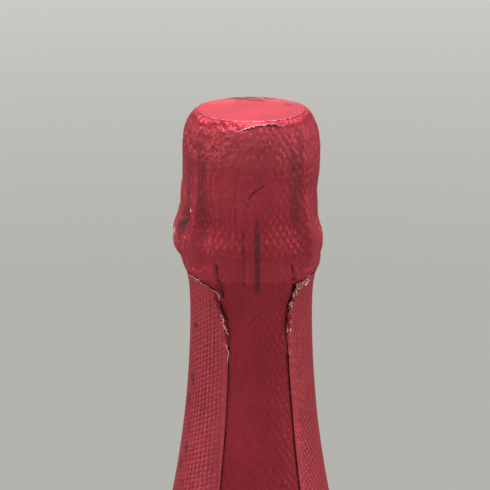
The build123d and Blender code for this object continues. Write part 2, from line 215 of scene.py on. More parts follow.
# Rubbed stripe and spots, and tiny spots of bare tin, as places
rubbed_stripe = ((4.6, 299.6), (4.6, 291), (5.1, 280))
stripe_reach = 17
stripe_top = 300.2
stripe_half_width = 0.85
stripe_darkness = 0.88
rub_spots = (
    (-64.2, 268.5), (-67.5, 254.4), (-74, 248.6), (-67, 242.3), (-67.7, 235.7), (-75, 231.2),
    (-65.6, 227.2), (82.8, 251.8), (118, 262), (-131, 240), (152, 236), (171, 259), (-88, 262),
    (-98, 243.5), (-92, 225.5), (-116, 247), (-104, 271), (96, 233),
)
spot_reach = 16.5
tin_specks = (((-58.5, 298.6), 0.26), ((52, 319.6), 0.1), ((-4.5, 270.9), 0.15))

# How dark (below 0) or pale (above 0) each piece of foil is painted: painted shade on the front and back
# strips, painted light on the side pleats, the tab and the top disc
strip_painted_shade = -0.35
panel_painted_light = 0.22
tab_painted_light = 0.35
disc_painted_light = 0.1

# Top disc: its radius, height, dome and pressed edge
disc_radius = 13.2
disc_height = 321.74
disc_dome = 0.12
disc_edge_width = 0.5
disc_edge_fall = 0.2
disc_edge_rows = 14

# Wires of the cage
leg_line = (
    (13.75, 320.5), (14.45, 320.45), (16.25, 317.3), (16.3, 302.9), (17.9, 291.9), (17.9, 288.4),
    (16.145, 284.625),
)
leg_bend_radius = 1.2
cage_wire_radius = 0.35
leg_pitch = 4.2
top_ring_reach = 13.75
top_ring_height = 320.3
belt_reach = 16.045
belt_height = 283.7
belt_wire_radius = 0.475
eyelet_radius = 0.925
loop_hinge = (-18.10125, 0, 287.4)
loop_lean = math.asin(1.5 / 9.6)
loop_half_width = 3.825
loop_foot = 1.6
loop_top = 9.125
stem_clearance = 0.15
stem_bend = (-16.6, 0, 286.2)
stem_wire_radius = 0.43
stem_pitch = 5
corner_steps = 7
wire_sides = 10

# Colours of the red foil, among them its painted light, painted shade and painted highlight
lacquer_red = (0.38, 0.040, 0.060, 1)
light_lacquer_red = (0.49, 0.054, 0.078, 1)
painted_shade_red = (0.25, 0.011, 0.020, 1)
painted_light_red = (0.72, 0.16, 0.18, 1)
painted_groove_shade_red = (0.23, 0.018, 0.028, 1)
painted_pit_shade_red = (0.14, 0.012, 0.02, 1)
streak_red = (0.25, 0.022, 0.034, 1)
grain_red = (0.80, 0.24, 0.26, 1)
rubbed_grey = (0.075, 0.036, 0.048, 1)
bare_tin_and_highlight = (0.95, 0.80, 0.73, 1)

# Materials of two tones: spots and their spread, the tones, roughness, grain, its relief, and other values
two_tone_materials = {
    "foil_bare": (
        (700, 2), (0, 1), ((0.50, 0.42, 0.42, 1), (0.86, 0.82, 0.80, 1)), (0.2, 0.8, 0.3, 0.5),
        (700, 2), (0.00004, 0.5), {"Metallic": 0.85},
    ),
    "galvanised_wire": (
        (600, 4), (0.35, 0.7), ((0.66, 0.66, 0.65, 1), (0.38, 0.38, 0.39, 1)), (0.3, 0.7, 0.28, 0.5),
        (3500, 2, (1, 1, 0.15)), (0.00002, 0.5), {"Metallic": 1},
    ),
    "bottle_glass": (
        (45, 1, (1, 1, 0.35)), (0, 1), ((0.10, 0.21, 0.055, 1), (0.12, 0.24, 0.07, 1)),
        (0.3, 0.7, 0.02, 0.05), (45, 1, (1, 1, 0.35)), (0.0006, 0.25),
        {"Transmission_Weight": 1, "IOR": 1.52},
    ),
    "cap_plate": (
        (240, 5), (0.58, 0.72), ((0.62, 0.46, 0.20, 1), (0.50, 0.46, 0.40, 1)), (0.3, 0.75, 0.24, 0.45),
        (1600, 2, (0.05, 1, 1)), (0.00002, 0.5), {"Metallic": 0.9},
    ),
}

# Floor and backdrop
floor_radius = 6000
floor_base_colour = (0.50, 0.497, 0.467, 1)
near_floor_colour = (0.455, 0.452, 0.425, 1)
far_floor_colour = (0.60, 0.59, 0.555, 1)
ambient_colour = (0.40, 0.40, 0.40, 1)
backdrop_colour = (0.58, 0.57, 0.54, 1)

# Light panels, as (name, place, size, power), in metres and watts
light_aim = (0, 0, 0.25)
light_panels = (
    ("top_panel", (0, 0.25, 1.35), (0.9, 0.9), 17),
    ("back_panel", (0, 1.5, 1), (1.6, 0.8), 4.8),
    ("left_panel", (-1.4, 0.1, 0.6), (0.7, 1), 5),
    ("right_panel", (1.4, 0.1, 0.6), (0.7, 1), 5),
    ("front_panel", (-0.5, -1.7, 0.9), (1, 1), 2),
)


def smooth_curve(points, along):
    """Smooth curve through (value, place) points."""
    value, place = np.array(sorted(points, key=lambda p: p[1]), float).T
    slope = np.gradient(value, place)
    index = np.clip(np.searchsorted(place, along) - 1, 0, len(place) - 2)
    span = place[index + 1] - place[index]
    t = np.clip((along - place[index]) / span, 0, 1)
    start = (1 + 2 * t) * (1 - t) ** 2 * value[index] + t * (1 - t) ** 2 * span * slope[index]
    end = t * t * (3 - 2 * t) * value[index + 1] - t * t * (1 - t) * span * slope[index + 1]
    return start + end


def soft_step(value):
    """0 below 0, 1 above 1, and a smooth rise between."""
    value = np.clip(value, 0, 1)
    return value * value * (3 - 2 * value)


def window(value, low, high, fade):
    """1 between two limits and 0 outside them, with soft ends."""
    return soft_step((value - low) / fade + 0.5) * soft_step((high - value) / fade + 0.5)


def turn_from(direction, centre):
    """Angle from a centre direction, from -180 to 180."""
    return (direction - centre + 180) % 360 - 180


def travelled(points):
    """Length along a line, from its start to each of its points."""
    return np.concatenate(([0], np.cumsum(np.linalg.norm(np.diff(points, axis=0), axis=1))))


def noise(at, cells, cell_length, seed):
    """Smooth noise from -1 to 1 that closes round the bottle."""
    table = np.random.default_rng(seed).uniform(-1, 1, (cells, noise_rows))
    across, along = (at[0] % 360) / 360 * cells, at[1] / cell_length
    i, j = np.floor(across).astype(int), np.floor(along).astype(int)
    s, t = (part ** 3 * (part * (6 * part - 15) + 10) for part in (across - i, along - j))
    rows = j % noise_rows, (j + 1) % noise_rows
    near, far = (table[i % cells, row] * (1 - s) + table[(i + 1) % cells, row] * s for row in rows)
    return near * (1 - t) + far * t


def creased_noise(at, cells, cell_length, seed):
    """Noise with sharp ridges, from about -1 to 1."""
    return 1 - 2.4 * np.abs(noise(at, cells, cell_length, seed))


def layered(kind, at, *layers):
    """Sum of some layers of one kind of noise."""
    return sum(strength * kind(at, *layer) for strength, *layer in layers)


def line_distance(x, y, line):
    """Distance from a line of points."""
    best = np.full(x.shape, 1e3)
    for (x0, y0), (x1, y1) in zip(line, line[1:]):
        dx, dy = x1 - x0, y1 - y0
        t = np.clip(((x - x0) * dx + (y - y0) * dy) / (dx * dx + dy * dy), 0, 1)
        best = np.minimum(best, np.hypot(x - x0 - t * dx, y - y0 - t * dy))
    return best


def mark_distance(at, line, reach):
    """Distance on the foil from a line of places."""
    degree = math.radians(1) * reach
    across = turn_from(at[0], 0) * degree
    return line_distance(across, at[1], [(direction * degree, height) for direction, height in line])


def crease(at, line, width):
    """1 on a line of places, falling to 0 over a width."""
    return np.exp(-(mark_distance(at, line, crease_reach) / width) ** 2)


def cushions(u, v, slant=0):
    """Cushions between the lattice's lines, whose rising lines fade with the slant."""
    a, b = u + v, u - v
    gap = np.minimum(np.abs(a - np.round(a)), np.abs(b - np.round(b)) + slant)
    return 1 - (1 - 2 * np.minimum(gap, 0.5)) ** 2


def glass_reach(height):
    """Reach of the glass on the neck."""
    drop = np.clip(glass_curve_top - height, 0, None)
    return glass_neck_radius + glass_curve_radius - np.sqrt(glass_curve_radius ** 2 - drop ** 2)


def master_line():
    """The outline from the top disc to the neck foil's lower edge, by its run."""
    lower = np.arange(capsule_outline[-1][1] - 6, neck_foil_bottom - 6, -6)
    line = np.vstack((capsule_outline, np.stack((glass_reach(lower) + foil_off_glass, lower), axis=1)))
    run = travelled(line)
    return tuple(zip(line[:, 0], run)), tuple(zip(line[:, 1], run))


reach_by_run, height_by_run = master_line()
run_table = np.linspace(0, reach_by_run[-1][1], 4000)
height_table = smooth_curve(height_by_run, run_table)


def run_at(height):
    """Length along the outline down to a height."""
    return np.interp(-np.asarray(height, float), -height_table, run_table)


def outline_at(run):
    """Reach, height and outward slope of the outline at a run."""
    step = 0.05
    before, here, after = (
        (smooth_curve(reach_by_run, run + move), smooth_curve(height_by_run, run + move))
        for move in (-step, 0, step)
    )
    drop, grow = before[1] - after[1], after[0] - before[0]
    length = np.hypot(drop, grow) + 1e-9
    return here[0], here[1], drop / length, grow / length


def hood_share(height):
    """1 on the hood, fading to 0 down the neck."""
    return soft_step((height - hood_fade_height) / 6)


def above_label(height):
    """1 above the neck label, falling to 0 under it."""
    return soft_step((height - label_zone_top) / 3 + 0.1)


def leg_relief(at, reach):
    """The foil tented over each wire leg, with a hollow on either side."""
    direction, height = at
    lift = line_distance(reach, height, leg_cover) * soft_step((height - leg_foot) / 1.5)
    lift = np.minimum(lift + 0.03, leg_tent_limit)
    depth = sum(deepest * window(height, *band) for deepest, band in leg_hollow_depths)
    wander = 0.12 * noise(at, 12, 9, 3)
    relief = np.zeros(direction.shape)
    for leg, offset in leg_hollows.items():
        side = np.radians(turn_from(direction, leg)) * reach + wander
        side = side * -math.copysign(1, math.sin(math.radians(2 * leg)))
        width = np.where(side > 0, leg_tent_width, leg_tent_outer_width)
        relief = np.maximum(relief, lift * np.exp(-(np.abs(side) / width) ** 1.7))
        inner, outer = (np.exp(-((side + shift) / leg_hollow_width) ** 2) for shift in (-offset, offset))
        relief = relief - depth * (inner + 0.2 * outer)
    return relief


def fold_relief(at):
    """Soft vertical pleats, ribs and dents of the capsule."""
    direction, height = at
    side = window(np.abs(turn_from(direction, 0)), 38, 150, 24)
    left_front = window(direction, -38, 3, 10)
    low = window(height, *folded_band)
    relief = low * (0.1 + 0.9 * side) * layered(creased_noise, at, *pleat_layers)
    relief += low * (layered(creased_noise, at, fine_pleat_layer) + layered(noise, at, dimple_layer))
    relief += window(height, *ribbed_band) * (0.3 + 0.7 * left_front) * layered(noise, at, rib_layer)
    return relief + layered(noise, at, dent_layer)


def shoulder_relief(at):
    """Crumples of the pressed-in shoulder."""
    direction, height = at
    even = window(height, *shoulder_band) * (0.45 + 0.55 * np.cos(np.radians(direction + 48)) ** 2)
    deep = deep_crumple * window(direction, *deep_crumple_turn) * window(height, *deep_crumple_band)
    relief = 0 * height
    for slant, strength, *layer in shoulder_crumples:
        relief += (strength * even + deep) * creased_noise((direction + slant * height, height), *layer)
    return relief


def crease_relief(at):
    """Single creases and grooves."""
    return -sum(depth * crease(at, line, width) for line, depth, width, *_ in creases.values())


def over_loop(direction, height, reach):
    """Reach of the foil over the folded wire loop."""
    cover = smooth_curve(loop_cover, np.clip(height, loop_cover[0][1], loop_cover[-1][1]))
    across = np.abs(np.radians(turn_from(direction, loop_direction)) * reach)
    half = loop_cover_half_width - loop_top_narrowing * soft_step((height - 294) / 2.5)
    near = soft_step((half + loop_cover_fade - across) / loop_cover_fade)
    near = near * soft_step((307.5 - height) / 2)
    return reach + np.maximum(cover - reach, 0) * near


def dent_shade(at, dent):
    """1 in the middle of a dent, falling to 0 round it."""
    centre, level, half_turn, half_height = dent
    return np.exp(-(turn_from(at[0], centre) / half_turn) ** 2 - ((at[1] - level) / half_height) ** 2)


def leg_shade(at):
    """Dark shade in the long hollows beside the legs."""
    shade = 0 * at[1]
    for centre, half_width, strength in hollow_shades:
        shade = np.maximum(shade, strength * np.exp(-(turn_from(at[0], centre) / half_width) ** 2))
    return shade * sum(share * window(at[1], *band) for share, band in hollow_shade_bands)


def emboss_strength(at):
    """How deep the lattice is pressed: deep on the right and the ring, worn on the front left."""
    direction, height = at
    right = window(direction, 0, 60, 18)
    ring = window(height, 288.5, 298, 3) * window(direction, -45, 45, 14)
    side = window(np.abs(direction), 55, 175, 30)
    worn = 0.8 + 0.35 * noise(at, 16, 9, 31)
    return np.clip((0.25 + 0.5 * right + 0.85 * ring + 0.4 * side) * worn, 0, 1.3)


def capsule_surface(direction, run):
    """Reach, height, lattice place and marks of the capsule at a direction and run."""
    run = run + 0 * direction
    u, v = direction / 360 * cells_round, -run / cell_height
    direction = turn_from(direction, 0)
    reach, level, out_reach, out_height = outline_at(run)
    at = direction, level
    hood = hood_share(level)
    strip = 0.2 + 0.2 * noise(at, 14, 16, 32) + 0.5 * window(direction, 10, 50, 14)
    emboss = emboss_strength(at) * hood + strip * (1 - hood)
    relief = leg_relief(at, reach) + shoulder_relief(at) + crease_relief(at)
    relief += hood * fold_relief(at) + (1 - hood) * layered(noise, at, *neck_layers)
    relief += cushion_height * emboss * cushions(u, v, 0.16 * window(direction, -5, 60, 16))
    relief -= sum(depth * dent_shade(at, dent) for dent, depth in dent_depths)
    relief *= soft_step((run - 0.3) / 0.9) * above_label(level)
    height = np.minimum(level + relief * out_height, highest_foil)
    reach = over_loop(direction, height, reach + relief * out_reach)
    reach = np.maximum(reach, np.interp(height, *np.transpose(clearance)))
    return reach, height, (u, v), {"rub": rub_marks((direction, height)), "emboss": emboss}


def spot_marks(at):
    """Ragged rubbed spots of different shapes."""
    marks = 0 * at[1]
    ragged = np.clip(1 + 0.9 * noise(at, 150, 0.7, 22), 0.2, 2)
    for number, (centre, level) in enumerate(rub_spots):
        rise = at[1] - level
        across = np.radians(turn_from(at[0], centre)) * spot_reach + 0.5 * math.sin(2.4 * number) * rise
        gap = np.hypot(across, rise * (0.65 + 0.25 * math.cos(number)))
        size = 0.75 + 0.25 * math.sin(1.7 * number)
        marks = np.maximum(marks, np.clip(1.5 - gap / (size * ragged), 0, 0.88))
    return marks


def rub_marks(at):
    """Dark marks where the red lacquer is rubbed, and painted shade in the creases, the grooves and the
    hollows.
    """
    widening = np.clip((stripe_top - at[1]) / 5, 0.2, 1)
    uneven = np.clip(0.85 + 0.5 * noise(at, 200, 0.9, 21), 0.3, 1)
    gap = mark_distance(at, rubbed_stripe, stripe_reach) / (stripe_half_width * widening)
    marks = np.maximum(np.clip(2.4 * (1 - gap), 0, stripe_darkness) * uneven, spot_marks(at))
    # Painted shade along the creases and grooves
    for line, _, _, darkness, width in creases.values():
        marks = np.maximum(marks, darkness * crease(at, line, width))
    # Painted shade in the hollows beside the legs and in the side hollow
    shade = np.maximum(0.8 * leg_shade(at), 0.95 * dent_shade(at, side_hollow) ** 1.3)
    return np.maximum(marks, shade * (0.8 + 0.4 * noise(at, 130, 1.6, 23)))


def white_specks(at):
    """Tiny spots and nicks where the bare tin shows."""
    marks = 0 * at[1]
    for (centre, level), size in tin_specks:
        gap = np.hypot(np.radians(turn_from(at[0], centre)) * crease_reach, 0.7 * (at[1] - level))
        marks = np.maximum(marks, 0.9 * np.exp(-(gap / size) ** 2))
    return marks


def crumple_strength(at):
    """How crumpled the pressed-in shoulder is."""
    left = window(at[0], -80, -14, 14) * window(at[1], 311, 322, 3)
    round_top = window(at[1], 316, 322, 2.4) * (0.5 + 0.5 * noise(at, 20, 3, 18))
    return np.clip(0.15 + 0.85 * left + 0.5 * round_top, 0, 1)


def hood_painted_light_and_shade(at):
    """Painted light on the shoulder and the sides, and painted shade on the front and at the disc's rim.
    """
    direction, height = at
    pale = np.maximum(window(height, 311, 320, 4), window(np.abs(direction), 58, 190, 14))
    dark = window(height, 283, 300, 5) * window(direction, -35, 35, 10)
    return 0.17 * pale - 0.12 * dark - 0.25 * window(height, 320.3, 324, 1)


def wrap(direction, reach, height):
    """Points round the bottle in millimetres."""
    turn = np.radians(direction)
    return np.stack((reach * np.sin(turn), -reach * np.cos(turn), height + 0 * turn), axis=-1)


def new_piece(name, points, faces):
    """A new smooth object in the scene, from points in millimetres and faces."""
    mesh = bpy.data.meshes.new(name)
    mesh.from_pydata((points * MM).tolist(), [], faces)
    mesh.shade_smooth()
    piece = bpy.data.objects.new(name, mesh)
    bpy.context.scene.collection.objects.link(piece)
    return piece


def cell_corners(grid):
    """The four corners of each cell of a grid."""
    return np.stack((grid[:-1, :-1], grid[1:, :-1], grid[1:, 1:], grid[:-1, 1:]), axis=2)


def make_sheet(name, points, lattice, marks, closed=False, thin=None, gone=()):
    """A sheet of foil from a grid of points, with its lattice, marks and thickness."""
    index = np.arange(points[..., 0].size).reshape(points.shape[:2])
    uv = np.stack(lattice, axis=-1)
    if closed:
        index = np.hstack((index, index[:, :1]))
        uv = np.hstack((uv, uv[:, :1] + (cells_round, 0)))
    sheet = new_piece(name, points.reshape(-1, 3), cell_corners(index).reshape(-1, 4).tolist())
    mesh = sheet.data
    mesh.uv_layers.new(name="lattice").data.foreach_set("uv", cell_corners(uv).astype(np.float32).ravel())
    for mark, values in marks.items():
        values = np.broadcast_to(values, points.shape[:2]).astype(np.float32).ravel()
        mesh.attributes.new(mark, "FLOAT", "POINT").data.foreach_set("value", values)
    solid = sheet.modifiers.new("thickness", "SOLIDIFY")
    solid.thickness = foil_sheet * MM
    solid.offset = -1
    solid.material_offset = 1
    if thin is not None:
        solid.vertex_group = sheet.vertex_groups.new(name="thickness").name
        for number, share in enumerate(np.minimum(thin, 1).ravel().tolist()):
            sheet.vertex_groups[0].add([number], share, "REPLACE")
    crisp_border(mesh, gone)
    return sheet


def crisp_border(mesh, gone):
    """Takes away some vertices and makes the border crisp."""
    edit = bmesh.new()
    edit.from_mesh(mesh)
    edit.verts.ensure_lookup_table()
    bmesh.ops.delete(edit, geom=[edit.verts[i] for i in gone], context="VERTS")
    for edge in edit.edges:
        edge.smooth = not edge.is_boundary
    edit.to_mesh(mesh)
    edit.free()



def build_hood():
    """The capsule down to under the wire belt, open where the loop's tab lies."""
    front_columns, back_columns, rows = 190, 182, 134
    run_marks = (0, shoulder_run, run_at(seam_height))
    run_line = np.interp(np.linspace(0, 1, rows), (0, shoulder_rows_share, 1), run_marks)
    front = np.linspace(-fine_half_turn, fine_half_turn, front_columns)
    back = np.linspace(fine_half_turn, 360 - fine_half_turn, back_columns)[1:-1]
    direction, run = np.meshgrid(np.sort(turn_from(np.concatenate((back, front)), 0)), run_line)
    reach, height, lattice, marks = capsule_surface(direction, run)
    at = direction, height
    marks.update(edge=white_specks(at), crumple=crumple_strength(at), tone=hood_painted_light_and_shade(at))
    thin = 0.12 + 0.88 * soft_step((run_line[-1] - run - 0.05) / 1.2)
    under_tab = np.abs(turn_from(direction, loop_direction)) < window_half_turn
    under_tab &= (height > window_bottom) & (height < window_top)
    points = wrap(direction, reach, height)
    return make_sheet("capsule_hood", points, lattice, marks, True, thin, np.flatnonzero(under_tab))


def build_flap():
    """Torn layer of foil over the front of the shoulder, with its lower edge lifted."""
    columns, rows = 150, 12
    first, last = flap_edge[0][1], flap_edge[-1][1]
    line = np.linspace(first, last, columns)
    edge_run = run_at(smooth_curve(flap_edge, line) + layered(noise, (line, 0 * line), *flap_layers))
    direction, share = np.meshgrid(line, np.linspace(0, 1, rows))
    run = flap_start + (edge_run - flap_start) * share
    reach, height, lattice, marks = capsule_surface(direction, run)
    ends = window(direction, first + 4, last - 4, 6)
    uneven = 1 + 0.5 * noise((direction, height), 60, 3, 16)
    lift = 0.05 + ends * (0.1 * share + 0.22 * share ** 4) * uneven
    points = wrap(direction, reach + 0.75 * lift, np.minimum(height + 0.6 * lift, highest_foil + 0.15))
    marks = {"edge": 0.55 * soft_step(12 * share - 11), "emboss": 0.2 * marks["emboss"]}
    return make_sheet("shoulder_flap", points, lattice, marks)


def build_strip(name, turn):
    """The strip of neck foil between two pleats, its top under the hood."""
    columns, rows = 130, 240
    seam_run = run_at(seam_height)
    run = np.linspace(seam_run - seam_lap, run_at(neck_foil_bottom), rows)[:, None]
    level = np.minimum(np.interp(run, run_table, height_table), seam_height)
    left = smooth_curve(left_pleat_edge, level) - pleat_under
    right = smooth_curve(right_pleat_edge, level) + pleat_under
    direction = left + (right - left) * np.linspace(0, 1, columns)
    from_pleat = np.minimum(direction - left, right - direction) - pleat_under
    reach, height, lattice, marks = capsule_surface(direction + turn, run)
    reach = reach - 0.16 * soft_step((seam_run - run) / 0.3) - 0.02
    # Painted shade in the crevice along each pleat's edge, laid into the strip's rub and shade mark
    crevice_shade = np.exp(-(from_pleat * math.radians(1) * reach / 0.36) ** 2) * (from_pleat > -1.5)
    marks.update(rub=np.maximum(marks["rub"], 0.65 * crevice_shade), tone=strip_painted_shade)
    return make_sheet(name, wrap(direction + turn, reach, height), lattice, marks)


def turned_lattice(at, grid):
    """Lattice of a pleat, whose foil was wrapped at an angle and stretched."""
    across = np.radians(at[0]) * lattice_reach
    columns = grid[0] * across + grid[1] * at[1]
    rows = grid[2] * across + grid[3] * at[1]
    return (columns + rows) / 2, (columns - rows) / 2


def edge_curl(from_edge, outward, torn, at, seed):
    """How far a torn edge is drawn in and lifted where it curls."""
    curl = torn * np.clip(0.1 + 0.75 * noise((outward * 40, at[1]), 30, 1.5, seed), 0, 0.8)
    rolled = np.clip(curl - from_edge, 0, None)
    angle = rolled / curl_radius
    return rolled - curl_radius * np.sin(angle), curl_radius * (1 - np.cos(angle))


def pleat_press(at, from_edge, depth, seed):
    """How deep a pleat's lattice is and how dark the painted shade in its dots is, weaker near its edges.
    """
    hood = hood_share(at[1])
    fresh = depth * (0.35 + 0.65 * soft_step((from_edge - 0.8) / 3))
    emboss = np.clip(0.75 - 0.35 * hood + 0.2 * noise(at, 18, 14, seed), 0, 1)
    dots = np.clip(1 - 0.5 * hood + 0.5 * noise(at, 20, 12, seed + 2), 0, 1.2)
    return fresh * emboss, fresh * dots


def build_panel(name, turn, grid, depth, line_share, seed):
    """A wide pleat of neck foil over the strips beside it, its upper edges torn and curled."""
    columns, rows = 150, 250
    level = np.linspace(seam_height + 0.05, neck_foil_bottom, rows)[:, None]
    start = smooth_curve(right_pleat_edge, level) + turn
    end = smooth_curve(left_pleat_edge, level) + turn + 180
    even = np.linspace(0, 1, columns)
    direction = start + (end - start) * (even - edge_crowding * np.sin(2 * math.pi * even))
    height = level + 0 * direction
    at = direction, height
    base = outline_at(run_at(level))[0]
    degree = math.radians(1) * base
    from_edge = np.minimum(direction - start, end - direction) * degree
    outward = np.where(direction - start < end - direction, -1, 1)
    near_edge = np.exp(-(from_edge / 0.9) ** 2)
    torn = window(height, *torn_band)
    u, v = turned_lattice(at, grid)
    emboss, dots = pleat_press(at, from_edge, depth, seed + 5)
    relief = 0.05 * noise(at, 30, 26, seed) + 0.04 * noise(at, 70, 40, seed + 1)
    relief += near_edge * (0.16 + 0.3 * torn * noise(at, 60, 1.6, seed + 2))
    relief += hood_share(height) * (leg_relief(at, base + 0 * height) + 0.7 * fold_relief(at))
    relief += cushion_height * emboss * cushions(u, v)
    shift, lift = edge_curl(from_edge, outward, torn, at, seed + 4)
    wave = 1.2 * torn * near_edge * noise(at, 90, 2.2, seed + 3)
    glints = np.clip(1.5 * noise((outward * 40, height), 30, 2.6, seed + 6), 0, 1)
    tin_and_highlight = np.exp(-(from_edge / 0.16) ** 2) * (0.04 + 0.7 * torn * glints)
    direction = direction + wave - outward * shift / degree
    reach = base + pleat_lift + relief * above_label(height) + lift
    marks = {"rub": rub_marks((direction, height)), "edge": tin_and_highlight, "emboss": emboss, "dots": dots}
    marks.update(lines=line_share * dots, tone=panel_painted_light)
    return make_sheet(name, wrap(direction, reach, height), (u, v), marks)


def build_fringe(name, line, seed, bareness):
    """A narrow torn lip along a pleat's edge, which shows its bare side here and there."""
    rows = 7
    centre, level = np.transpose(line)
    length = travelled(np.stack((np.radians(centre) * lattice_reach, level), axis=1))
    along = np.linspace(0, length[-1], int(length[-1] / fringe_spacing))
    centre, level = np.interp(along, length, centre), np.interp(along, length, level)
    side_x, side_z = -np.gradient(level, along), np.radians(np.gradient(centre, along)) * lattice_reach
    ends = soft_step(along / 1.5) * soft_step((length[-1] - along) / 1.5)
    mark, share = np.meshgrid(4 * along, np.linspace(0.5, -0.5, rows))
    ragged = 1 + layered(noise, (mark, 0 * mark), (0.6, 360, 1, seed), (0.4, 150, 1, seed + 100))
    out = fringe_width * share * ragged * (0.2 + 0.8 * ends)
    out = out + 0.3 * noise((mark, 0 * mark), 170, 1, seed + 200)
    direction, height = centre + np.degrees(out * side_x / lattice_reach), level + out * side_z
    crumple = np.abs(noise((mark, share * 4 + 40), 200, 1, seed + 300))
    crumple += 0.5 * np.abs(noise((mark, share * 9 + 40), 340, 1, seed + 400))
    lift = (0.1 + 0.5 * crumple) * (0.3 + 0.7 * ends)
    torn = np.clip(2.2 * noise((mark, share * 2 + 40), 80, 1, seed + 500) + bareness, 0, 1)
    # Darker on one half of the lip, where no bare tin shows
    rub = 0.5 * (1 - torn) * soft_step(-3 * share)
    marks = {"rub": rub, "edge": torn * ends * soft_step(5 * np.abs(share) - 1.2)}
    points = wrap(direction, outline_at(run_at(height))[0] + pleat_lift + lift, height)
    return make_sheet(name, points, (direction / 6, height / cell_height), marks)


def build_tab():
    """The torn tab of foil that covers the folded wire loop."""
    columns, rows = 60, 56
    turn_line = np.linspace(-tab_half_turn, tab_half_turn, columns)
    turn, height = np.meshgrid(turn_line, np.linspace(window_top + tab_lap, window_bottom + 0.05, rows))
    degree = math.radians(1) * loop_reach
    from_side = (tab_half_turn - np.abs(turn)) * degree
    direction = loop_direction + turn
    direction += 0.5 * noise((direction, height), 70, 1.6, 51) * soft_step((1.2 - from_side) / 1.2)
    reach, height, lattice, marks = capsule_surface(direction, run_at(height))
    at = direction, height
    inner = soft_step(from_side / 1.5) * soft_step((height - window_bottom) / 2)
    rise = tab_lift - tab_edge_lift + layered(creased_noise, at, *tab_layers)
    reach = reach + tab_edge_lift + inner * rise
    ragged = 1 + 0.6 * noise(at, 260, 0.5, 54)
    torn = np.exp(-(np.hypot((turn * degree - 3.1) / 1.1, (height - 292) / 0.85) / ragged) ** 2)
    marks["edge"] = np.maximum(torn, 0.12 * soft_step((height - window_top - tab_lap + 0.35) / 0.3))
    marks["tone"] = tab_painted_light
    return make_sheet("loop_tab", wrap(direction, reach, height), lattice, marks, thin=0.3 + 0.7 * inner)


def disc_marks(at, fall):
    """Rubbed places and a paler band at the back of the top disc, and a painted highlight on its front
    edge.
    """
    direction, out = at
    back = window(np.abs(direction), 154, 200, 20) * window(out, 7.8, 13.4, 1.8)
    back_band = window(np.abs(direction), 125, 235, 50) * window(out, 8, 20, 4)
    patchy = np.clip(0.8 + 1.1 * noise(at, 34, 1.7, 62), 0.1, 1)
    spot = dent_shade(at, (115, 10, 14, 1.1))
    # Painted highlight along the front of the disc's pressed edge
    tin_and_highlight = window(direction, -72, 66, 40) * np.clip(0.6 + noise(at, 90, 4, 64), 0, 1)
    return {
        "rub": 0.07 + 0.12 * back_band + 0.8 * np.maximum(back * patchy, 0.7 * spot),
        "edge": 0.35 * tin_and_highlight * fall ** 3,
        "tone": disc_painted_light + 0.5 * back_band,
    }


def build_top_disc():
    """The smooth disc on top, slightly domed, with its edge pressed down."""
    columns, rows = 260, 40
    share = np.concatenate((np.linspace(0.003, 0.9, rows), np.linspace(0.905, 1, disc_edge_rows)))
    direction, out = np.meshgrid(np.linspace(-180, 180, columns, endpoint=False), share * disc_radius)
    x, y, height = np.moveaxis(wrap(direction, out, disc_height), -1, 0)
    fall = np.clip((out - disc_radius) / disc_edge_width + 1, 0, 1)
    spread = x * 12, y + 40
    dents = 0.05 * noise(spread, 18, 5, 61) + 0.02 * creased_noise(spread, 60, 2.2, 63)
    height = height + disc_dome * (1 - (out / disc_radius) ** 2) - disc_edge_fall * fall ** 2
    height += dents * soft_step((disc_radius - out) / 2.5)
    points, lattice = np.stack((x, y, height), axis=-1), (x / cell_width, y / cell_height)
    marks = disc_marks((direction, out), fall)
    return make_sheet("capsule_disc", points, lattice, marks, True, 1 - 0.7 * fall)


def unit(vectors):
    """Vectors made one long."""
    return vectors / np.linalg.norm(vectors, axis=-1, keepdims=True)


def bend(start, corner, end, t):
    """Points on a curve from start to end that is drawn towards a corner."""
    return (1 - t) ** 2 * start + 2 * t * (1 - t) * corner + t * t * end


def rounded_path(corners, radius, spacing):
    """Even points along straight runs with rounded corners."""
    corners = np.array(corners, float)
    points = [corners[:1]]
    for before, corner, after in zip(corners, corners[1:], corners[2:]):
        cut = min(radius, 0.45 * np.linalg.norm(before - corner), 0.45 * np.linalg.norm(after - corner))
        enter, leave = corner + unit(before - corner) * cut, corner + unit(after - corner) * cut
        points.append(bend(enter, corner, leave, np.linspace(0, 1, corner_steps)[:, None]))
    points = np.vstack((*points, corners[-1:]))
    length = travelled(points)
    even = np.linspace(0, length[-1], max(int(length[-1] / spacing), 2))
    return np.stack([np.interp(even, length, column) for column in points.T], axis=1)


def tube(path, radius, closed=False):
    """Points and faces of a round wire along a path."""
    ahead = np.roll(path, -1, axis=0) - np.roll(path, 1, axis=0)
    if not closed:
        ahead[0], ahead[-1] = path[1] - path[0], path[-1] - path[-2]
    ahead = unit(ahead)
    side = np.cross(ahead[0], (0.3, 0.5, 0.81))
    turn = np.linspace(0, 2 * math.pi, wire_sides, endpoint=False)[:, None]
    rings = []
    for point, along in zip(path, ahead):
        side = unit(side - along * np.dot(side, along))
        rings.append(point + radius * (np.cos(turn) * side + np.sin(turn) * np.cross(along, side)))
    index = np.arange(len(path) * wire_sides).reshape(len(path), wire_sides)
    caps = [index[0, ::-1].tolist(), index[-1].tolist()]
    if closed:
        start = rings[0][0] - path[0]
        shift = int(np.argmin(np.linalg.norm(rings[-1] - path[-1] - start, axis=1)))
        rings[-1] = np.roll(rings[-1], -shift, axis=0)
        index, caps = np.vstack((index, index[:1])), []
    index = np.hstack((index, index[:, :1]))
    return np.vstack(rings), cell_corners(index.T).reshape(-1, 4).tolist() + caps


